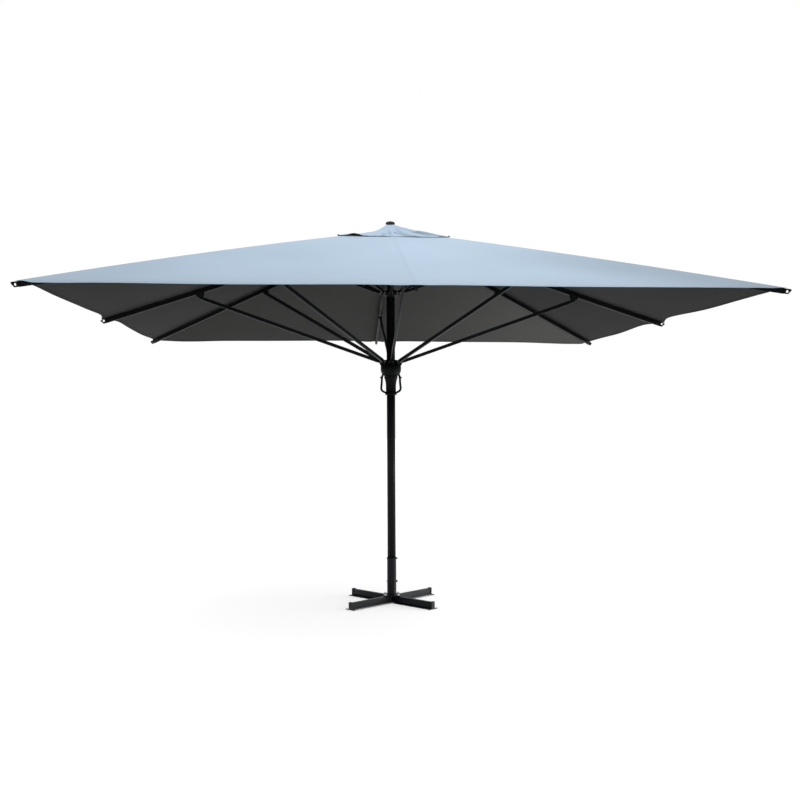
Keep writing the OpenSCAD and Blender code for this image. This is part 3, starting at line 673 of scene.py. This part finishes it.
# the middle of the vent cap stays on the crown, clamped under the finial
ring = np.concatenate([np.linspace(-1, 1, 33)[:-1]] * 1)
PX, PY, PZ = [], [], []
verts, faces = [], []
side_pts = []
for f in range(4):
    for tt in np.concatenate([-T_HIP[::-1][:-1], T_MID[:-1], T_HIP[:-1]]):
        side_pts.append((f, tt))
cols = len(side_pts)
X = np.zeros((len(IN_ROWS), cols + 1))
Y = np.zeros_like(X)
for k in range(cols + 1):
    f, tt = side_pts[k % cols]
    gx, gy = rot2(IN_ROWS, IN_ROWS * tt, math.radians(90 * f))
    X[:, k], Y[:, k] = gx, gy
M = np.maximum(np.abs(X), np.abs(Y))
Z = cap_top(X, Y, np.full_like(X, 1.0))
centre = grid_piece("vent_cap_centre", X, Y, Z, Z - 0.0008, (np.full_like(X, 0.5), M), (np.full_like(X, 0.5), M), rim_top=(0, 1))
bm = bmesh.new()
bm.from_mesh(centre.data)
# join the ring's two ends and drop the doubled walls there
seen = {}
kill = []
n_all = len(bm.verts)
bmesh.ops.remove_doubles(bm, verts=bm.verts[:], dist=1e-6)
bad = [f for f in bm.faces if len(f.verts) == 4 and all(len(e.link_faces) > 2 for e in f.edges if abs(e.verts[0].co.z - e.verts[1].co.z) > 0.00075 and (e.verts[0].co.xy - e.verts[1].co.xy).length < 1e-6)
       and sum(1 for e in f.edges if (e.verts[0].co.xy - e.verts[1].co.xy).length < 1e-6) == 2
       and max(abs(v.co.x) for v in f.verts) != 0]
wall = []
x0, y0 = X[0, 0], Y[0, 0]
for f in bm.faces:
    up = [e for e in f.edges if (e.verts[0].co.xy - e.verts[1].co.xy).length < 1e-6]
    if len(up) == 2 and any(len(e.link_faces) > 2 for e in f.edges):
        wall.append(f)
bmesh.ops.delete(bm, geom=wall, context="FACES_ONLY")
bm.to_mesh(centre.data)
bm.free()
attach(centre, "crown")


# ---------------------------------------------------------------- pockets over the rib ends
def surface_at(x, y):
    m = np.maximum(np.abs(x), np.abs(y))
    return canopy_top(x, y, np.maximum(HALF - m, 0.0))


for i, n in enumerate(NAMES):
    corner = i % 2 == 1
    reach = HALF * (math.sqrt(2) if corner else 1) - 0.016
    length, half_w = (0.19, 0.0175) if corner else (0.15, 0.0175)
    R, C = 26, 33
    s = np.concatenate([[0, .004, .008], np.linspace(.014, .986, R - 6), [.992, .996, 1.0]])
    c = np.linspace(-1, 1, C)
    S, Cc = np.meshgrid(s, c, indexing="ij")
    # rounded tongue
    taper = half_w * np.ones_like(S)
    round_in = np.sqrt(np.clip(1 - np.clip(1 - S / 0.22, 0, 1) ** 2, 0.0, 1))
    lat = Cc * taper * np.maximum(round_in, 0.02)
    al = reach - length * (1 - S)
    if corner:
        al = al - np.abs(lat) * 0.98 * S
    x, y = rot2(al, lat, az(i))
    z = surface_at(x, y) - 0.0030
    rim = np.minimum(np.minimum(S * length, (1 - S) * length), (1 - np.abs(Cc)) * taper)
    z = z + 0.0006 * smoothstep(0.0, 0.003, rim)
    patch = grid_piece("rib_pocket_" + n, x, y, z, z - 0.0010, (np.minimum(taper - np.abs(lat), 0.2) + 0.0015, al), (S * length + 0.004, lat), mats=(PATCH, PATCH))
    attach(patch, "rib_" + n)
    if not corner:
        joint = "rib_left_on_link" if n == "left" else "rib_" + n + "_hinge"


# ---------------------------------------------------------------- crank loops on the runner
def sweep(name, path, w, h, r, mat, seg=6):
    """A rounded bar along a plan-free path: path points and their flat normal direction across."""
    P = np.array(path, float)
    T = np.gradient(P, axis=0)
    T /= np.linalg.norm(T, axis=1)[:, None]
    side = np.array([0.0, 1.0, 0.0])
    prof = []
    for q, (sx, sy) in enumerate(((1, 1), (-1, 1), (-1, -1), (1, -1))):
        for k in range(seg + 1):
            ang = math.radians(90 * q + 90 * k / seg)
            prof.append((sx * (w / 2 - r) + r * math.cos(ang), sy * (h / 2 - r) + r * math.sin(ang)))
    n = len(prof)
    verts, faces = [], []
    for p, t in zip(P, T):
        nn = np.cross(t, side)
        for (a, b) in prof:
            verts.append(tuple(p + side * a + nn * b))
    for k in range(len(P) - 1):
        for j in range(n):
            faces.append((k * n + j, k * n + (j + 1) % n, (k + 1) * n + (j + 1) % n, (k + 1) * n + j))
    faces.append(tuple(reversed(range(n))))
    faces.append(tuple((len(P) - 1) * n + j for j in range(n)))
    return verts, faces


RB = 2.040
HP = [(64, 30), (69, 20), (76, 6), (80.5, -10), (82, -30), (82.5, -50), (85, -78), (87.5, -102), (85, -119), (76, -132), (62, -140), (50, -146), (40, -150)]


def catmull(a, b, c, d, t):
    return 0.5 * (2 * b + (c - a) * t + (2 * a - 5 * b + 4 * c - d) * t * t + (3 * b - a - 3 * c + d) * t ** 3)


pts = []
for k in range(1, len(HP) - 2):
    for t in np.linspace(0, 1, 7)[:-1]:
        pts.append([catmull(HP[k - 1][j], HP[k][j], HP[k + 1][j], HP[k + 2][j], t) for j in (0, 1)])
pts.append(list(HP[-2]))
path = [(p[0] / 1000, 0.0, RB + p[1] / 1000) for p in pts]
path[-1] = (0.0505, 0.0, path[-1][2])
bm = bmesh.new()
for turn in (0, 180):
    v, f = sweep("loop", path, 0.0238, 0.0188, 0.0075, FITTING)
    part = bpy.data.meshes.new("t")
    part.from_pydata(v, [], f)
    part.transform(Matrix.Rotation(math.radians(turn), 4, "Z"))
    bm.from_mesh(part)
    # thumb stud on the bar, turned with a domed end
    prof = [(0.0, 0.0860), (0.0078, 0.0860), (0.0079, 0.0905), (0.0068, 0.0918), (0.0068, 0.0932), (0.0079, 0.0944), (0.0080, 0.0958), (0.0070, 0.0967), (0.0, 0.0970)]
    sv, sf = [], []
    N = 40
    for (r, xx) in prof:
        for q in range(N):
            g = 2 * math.pi * q / N
            sv.append((xx, r * math.cos(g), RB - 0.010 + r * math.sin(g)))
    for p in range(len(prof) - 1):
        for q in range(N):
            sf.append((p * N + q, p * N + (q + 1) % N, (p + 1) * N + (q + 1) % N, (p + 1) * N + q))
    part = bpy.data.meshes.new("t")
    part.from_pydata(sv, [], sf)
    part.transform(Matrix.Rotation(math.radians(turn), 4, "Z"))
    bm.from_mesh(part)
bmesh.ops.remove_doubles(bm, verts=bm.verts[:], dist=1e-7)
bmesh.ops.recalc_face_normals(bm, faces=bm.faces[:])
me = bpy.data.meshes.new("runner_loops")
bm.to_mesh(me)
bm.free()
me.materials.append(FITTING)
me.polygons.foreach_set("use_smooth", [True] * len(me.polygons))
loops = bpy.data.objects.new("runner_loops", me)
scene.collection.objects.link(loops)
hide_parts("runner_handles")
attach(loops, "runner")


# ---------------------------------------------------------------- stage, light, camera
fm = Mat("floor")
fm.b.inputs["Base Color"].default_value = (0.93, 0.93, 0.93, 1)
fm.b.inputs["Roughness"].default_value = 0.9
fm.b.inputs["Specular IOR Level"].default_value = 0.1
fm.b.inputs["Emission Color"].default_value = (1, 1, 1, 1)
fm.b.inputs["Emission Strength"].default_value = 0.60
bm = bmesh.new()
bmesh.ops.create_circle(bm, cap_ends=True, radius=60.0, segments=96)
me = bpy.data.meshes.new("floor")
bm.to_mesh(me)
bm.free()
me.materials.append(fm.m)
floor = bpy.data.objects.new("floor", me)
floor.location.z = -0.0005
scene.collection.objects.link(floor)

world = bpy.data.worlds.new("studio")
scene.world = world
world.use_nodes = True
wt = world.node_tree
bg = wt.nodes["Background"]
bg.inputs[0].default_value = (1.0, 1.0, 1.0, 1.0)
# soft light from the right and above, dimmer from the left and the front
tc = wt.nodes.new("ShaderNodeTexCoord")
dot = wt.nodes.new("ShaderNodeVectorMath")
dot.operation = "DOT_PRODUCT"
wt.links.new(tc.outputs["Generated"], dot.inputs[0])
dot.inputs[1].default_value = Vector((0.62, 0.20, 0.76)).normalized()
mr = wt.nodes.new("ShaderNodeMapRange")
wt.links.new(dot.outputs["Value"], mr.inputs[0])
mr.inputs[1].default_value, mr.inputs[2].default_value = -0.75, 0.85
mr.inputs[3].default_value, mr.inputs[4].default_value = 0.20, 0.98
wt.links.new(mr.outputs[0], bg.inputs[1])
white = wt.nodes.new("ShaderNodeBackground")
white.inputs[0].default_value = (1.0, 1.0, 1.0, 1.0)
white.inputs[1].default_value = 1.0
lp = wt.nodes.new("ShaderNodeLightPath")
mx = wt.nodes.new("ShaderNodeMixShader")
wt.links.new(lp.outputs["Is Camera Ray"], mx.inputs[0])
wt.links.new(bg.outputs[0], mx.inputs[1])
wt.links.new(white.outputs[0], mx.inputs[2])
wt.links.new(mx.outputs[0], wt.nodes["World Output"].inputs[0])


def area(name, at, to, size, watts, colour=(1, 1, 1)):
    d = bpy.data.lights.new(name, "AREA")
    d.shape = "DISK"
    d.size = size
    d.energy = watts
    d.color = colour
    o = bpy.data.objects.new(name, d)
    o.location = at
    o.rotation_mode = "QUATERNION"
    o.rotation_quaternion = (Vector(to) - Vector(at)).to_track_quat("-Z", "Y")
    scene.collection.objects.link(o)
    return o


area("key", (0.5, -1.9, 6.5), (0.5, -1.5, 2.8), 2.5, 83)
area("side", (8.0, -3.5, 1.9), (0.0, 0.0, 1.2), 2.0, 26)
low = area("low", (2.7, -0.25, 0.40), (0.0, 0.0, 0.05), 0.6, 26)
low.visible_camera = False

cd = bpy.data.cameras.new("camera")
cam = bpy.data.objects.new("camera", cd)
scene.collection.objects.link(cam)
D, H0, YAW, PITCH, ROLL, PSI = 9.02679, 1.69944, 0.03491, -0.01150, -0.00370, 0.06684
right = Vector((math.cos(YAW), -math.sin(YAW), 0))
f0 = Vector((math.sin(YAW), math.cos(YAW), 0))
up0 = Vector((0, 0, 1))
fwd = math.cos(PITCH) * f0 + math.sin(PITCH) * up0
up = -math.sin(PITCH) * f0 + math.cos(PITCH) * up0
rr = math.cos(ROLL) * right + math.sin(ROLL) * up
uu = math.cos(ROLL) * up - math.sin(ROLL) * right
turn = Matrix.Rotation(-PSI, 3, "Z")
rr, uu, fwd = turn @ rr, turn @ uu, turn @ fwd
mat = Matrix((rr, uu, -fwd)).transposed().to_4x4()
mat.translation = Vector((-D * math.sin(PSI), -D * math.cos(PSI), H0))
cam.matrix_world = mat
cd.lens = 44.965
cd.shift_x = -0.03249
cd.shift_y = 0.03188
cd.sensor_width = 36.0
cd.clip_start, cd.clip_end = 0.05, 500.0
cd.dof.use_dof = False
scene.camera = cam
